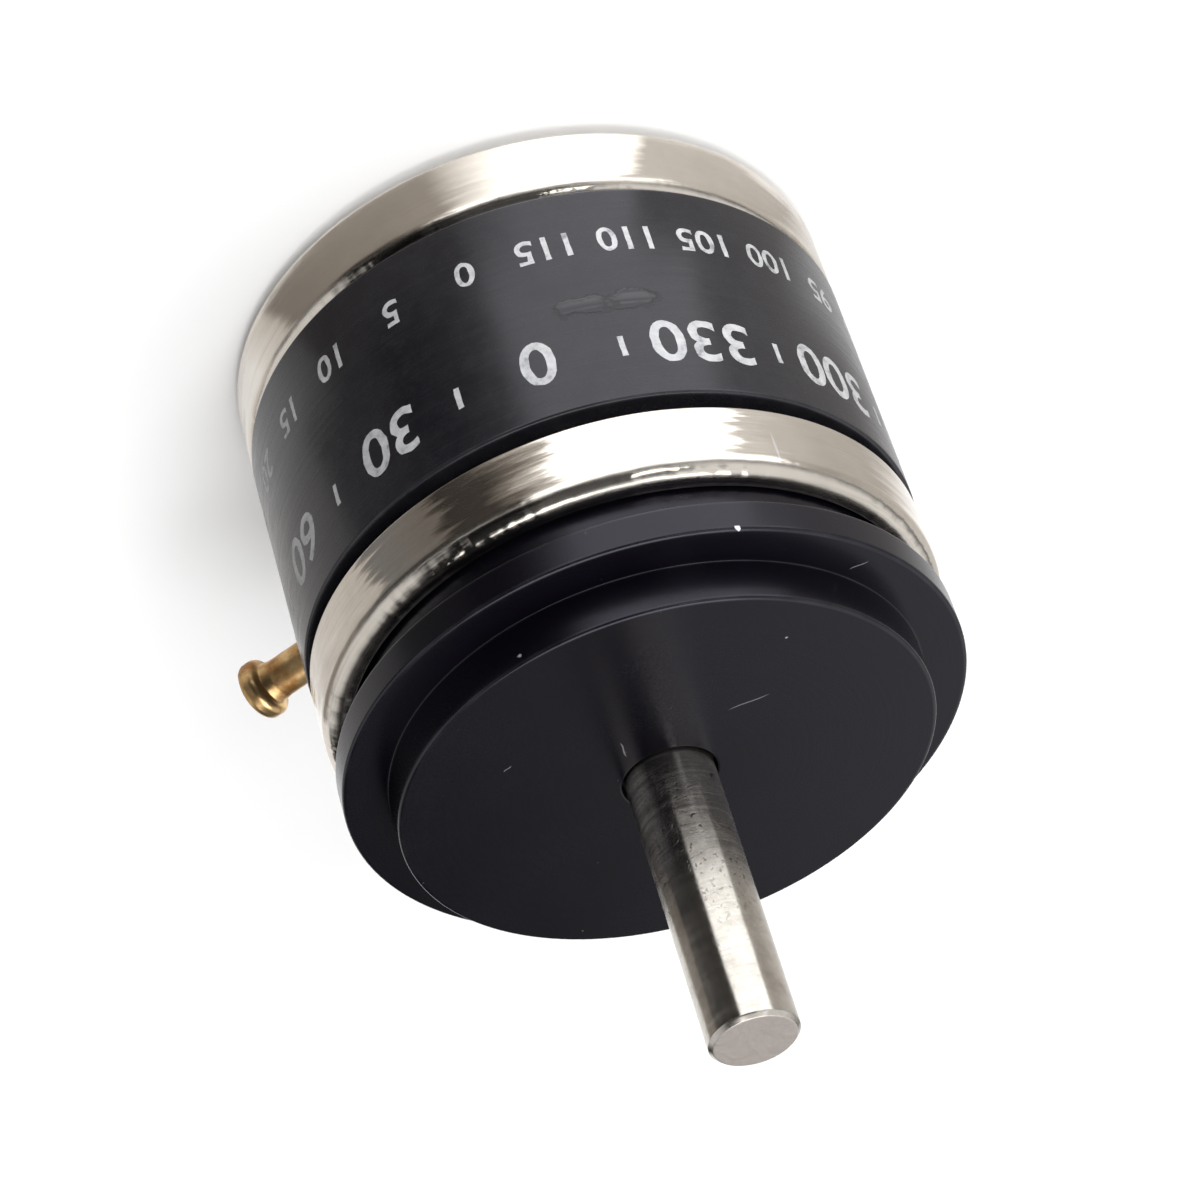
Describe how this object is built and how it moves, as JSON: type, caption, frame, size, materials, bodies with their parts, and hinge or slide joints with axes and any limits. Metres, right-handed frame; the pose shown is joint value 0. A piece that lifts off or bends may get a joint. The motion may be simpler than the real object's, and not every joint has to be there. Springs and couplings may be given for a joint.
{
  "type": "precision potentiometer",
  "caption": "Servo-mount single-turn precision potentiometer with a free-turning round shaft, a locating pilot, two clamp bands and hollow side terminals.",
  "frame": {"origin": "centre of the mounting face, on the shaft's axis, at the foot of the locating pilot", "axes": "+Z along the shaft towards its free end; -Y towards the centre terminal"},
  "size_m": [0.023, 0.0264, 0.0315],
  "materials": {
    "black_anodise": "matte black anodised",
    "nickel": "bright nickel plate, finely scratched",
    "black_moulding": "satin black, turned",
    "gold_plate": "gold plate, slightly tarnished",
    "phenolic": "moulded",
    "copper": "enamelled copper",
    "resistance_wire": "close-wound bare wire",
    "gold_wire": "drawn wire",
    "contact_brass": "satin",
    "bearing_steel": "ground and polished",
    "spring_steel": "oiled spring steel",
    "shaft_steel": "ground stainless steel, aged"
  },
  "bodies": {
    "case": {"front_lid": "black_anodise", "front_clamp_band": "nickel", "housing": "black_moulding", "rear_clamp_band": "nickel", "rear_lid": "black_anodise", "terminal_left": "gold_plate", "terminal_centre": "gold_plate", "terminal_right": "gold_plate", "element_carrier": "phenolic", "element_mandrel": "copper", "resistance_winding": "resistance_wire", "lead_left": "gold_wire", "lead_right": "gold_wire", "brush_block": "contact_brass", "brush_wires": "gold_wire", "front_outer_race": "bearing_steel", "front_shields": "bearing_steel", "bearing_snap_ring": "spring_steel", "rear_outer_race": "bearing_steel", "rear_shields": "bearing_steel", "preload_spring": "spring_steel"},
    "rotor": {"shaft": "shaft_steel", "front_inner_race": "bearing_steel", "rear_inner_race": "bearing_steel", "shim_washers": "contact_brass", "shaft_retaining_rings": "spring_steel", "rotor_hub": "phenolic", "hub_set_screw": "spring_steel", "slip_ring": "contact_brass", "wiper_lead": "gold_wire", "wiper_spring": "contact_brass", "wiper_fingers": "gold_wire", "wiper_screw": "spring_steel"},
    "front_ball_set": {"front_balls": "bearing_steel", "front_ball_cage": "contact_brass"},
    "rear_ball_set": {"rear_balls": "bearing_steel", "rear_ball_cage": "contact_brass"}
  },
  "joints": [
    {"name": "shaft_spin", "type": "hinge", "parent": "case", "child": "rotor", "pos_m": [0, 0, 0], "axis": [0, 0, 1], "continuous": true},
    {"name": "front_balls_spin", "type": "hinge", "parent": "case", "child": "front_ball_set", "pos_m": [0, 0, -0.0013], "axis": [0, 0, 1], "continuous": true},
    {"name": "rear_balls_spin", "type": "hinge", "parent": "case", "child": "rear_ball_set", "pos_m": [0, 0, -0.0157], "axis": [0, 0, 1], "continuous": true}
  ],
  "couplings": [
    {"joint": "front_balls_spin", "follows": "shaft_spin", "ratio": 0.375},
    {"joint": "rear_balls_spin", "follows": "shaft_spin", "ratio": 0.375}
  ]
}
